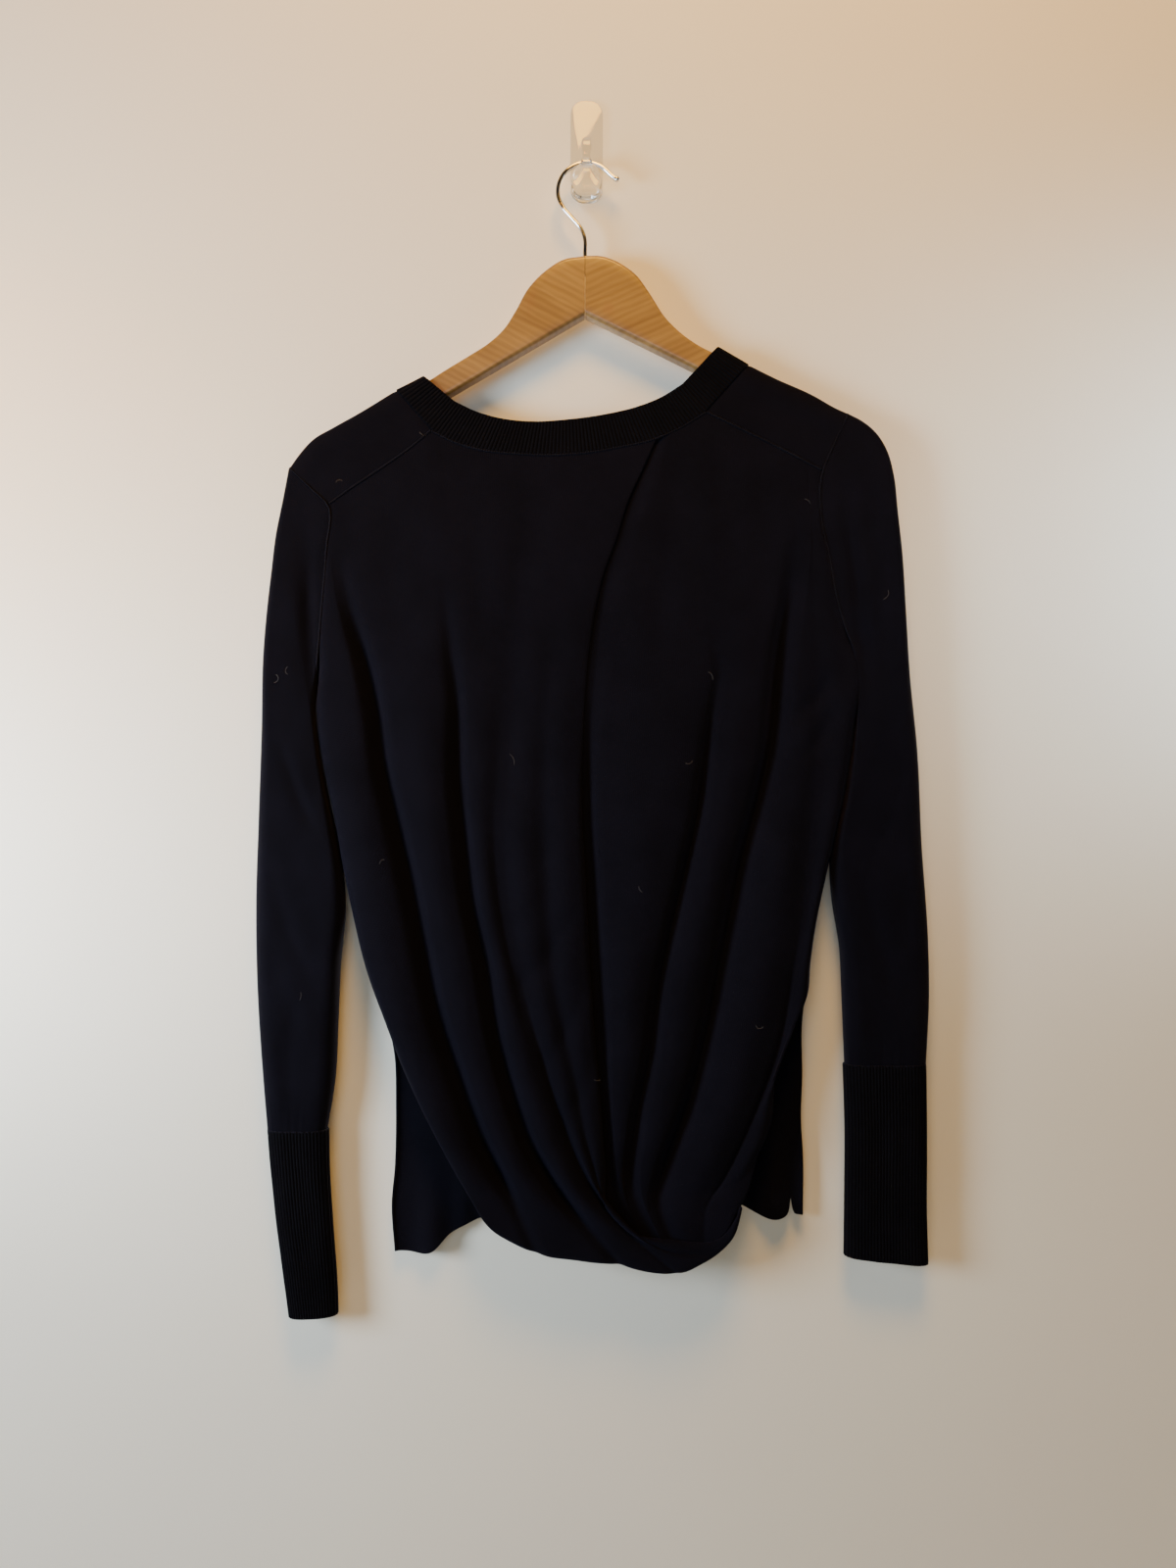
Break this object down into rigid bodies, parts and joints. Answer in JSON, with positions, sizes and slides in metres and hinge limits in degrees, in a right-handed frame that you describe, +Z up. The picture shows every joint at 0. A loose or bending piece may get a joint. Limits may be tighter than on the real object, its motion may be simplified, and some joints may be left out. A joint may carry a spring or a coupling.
{
  "type": "crew neck sweater on wooden hanger and wall hook",
  "caption": "Fine black knit crew neck sweater with a draped crossover back and long rib cuffs, hung flat on a wooden hanger and a clear wall hook.",
  "frame": {"origin": "centre of the wall hook's flat back face, in the plane of the wall", "axes": "+Z up; +Y into the wall, out of the hook's back face; the sweater hangs on the -Y side with its crossover back towards -Y; +X to the right of someone who faces the wall"},
  "size_m": [0.5038, 0.0443, 0.9207],
  "materials": {
    "knit": "matte fine-gauge knit",
    "rib": "matte fine rib knit",
    "hanger_wood": "satin honey varnish",
    "hanger_wire": "bright",
    "clear_plastic": "clear, glossy"
  },
  "bodies": {
    "root": {"front_panel": "knit", "back_over_wrap": "knit", "back_under_wrap": "knit", "sleeve_left": "knit", "sleeve_right": "knit", "collar": "rib", "cuff_left": "rib", "cuff_right": "rib", "hanger_left": "hanger_wood", "hanger_right": "hanger_wood", "hanger_wire": "hanger_wire", "wall_hook": "clear_plastic"}
  },
  "joints": []
}
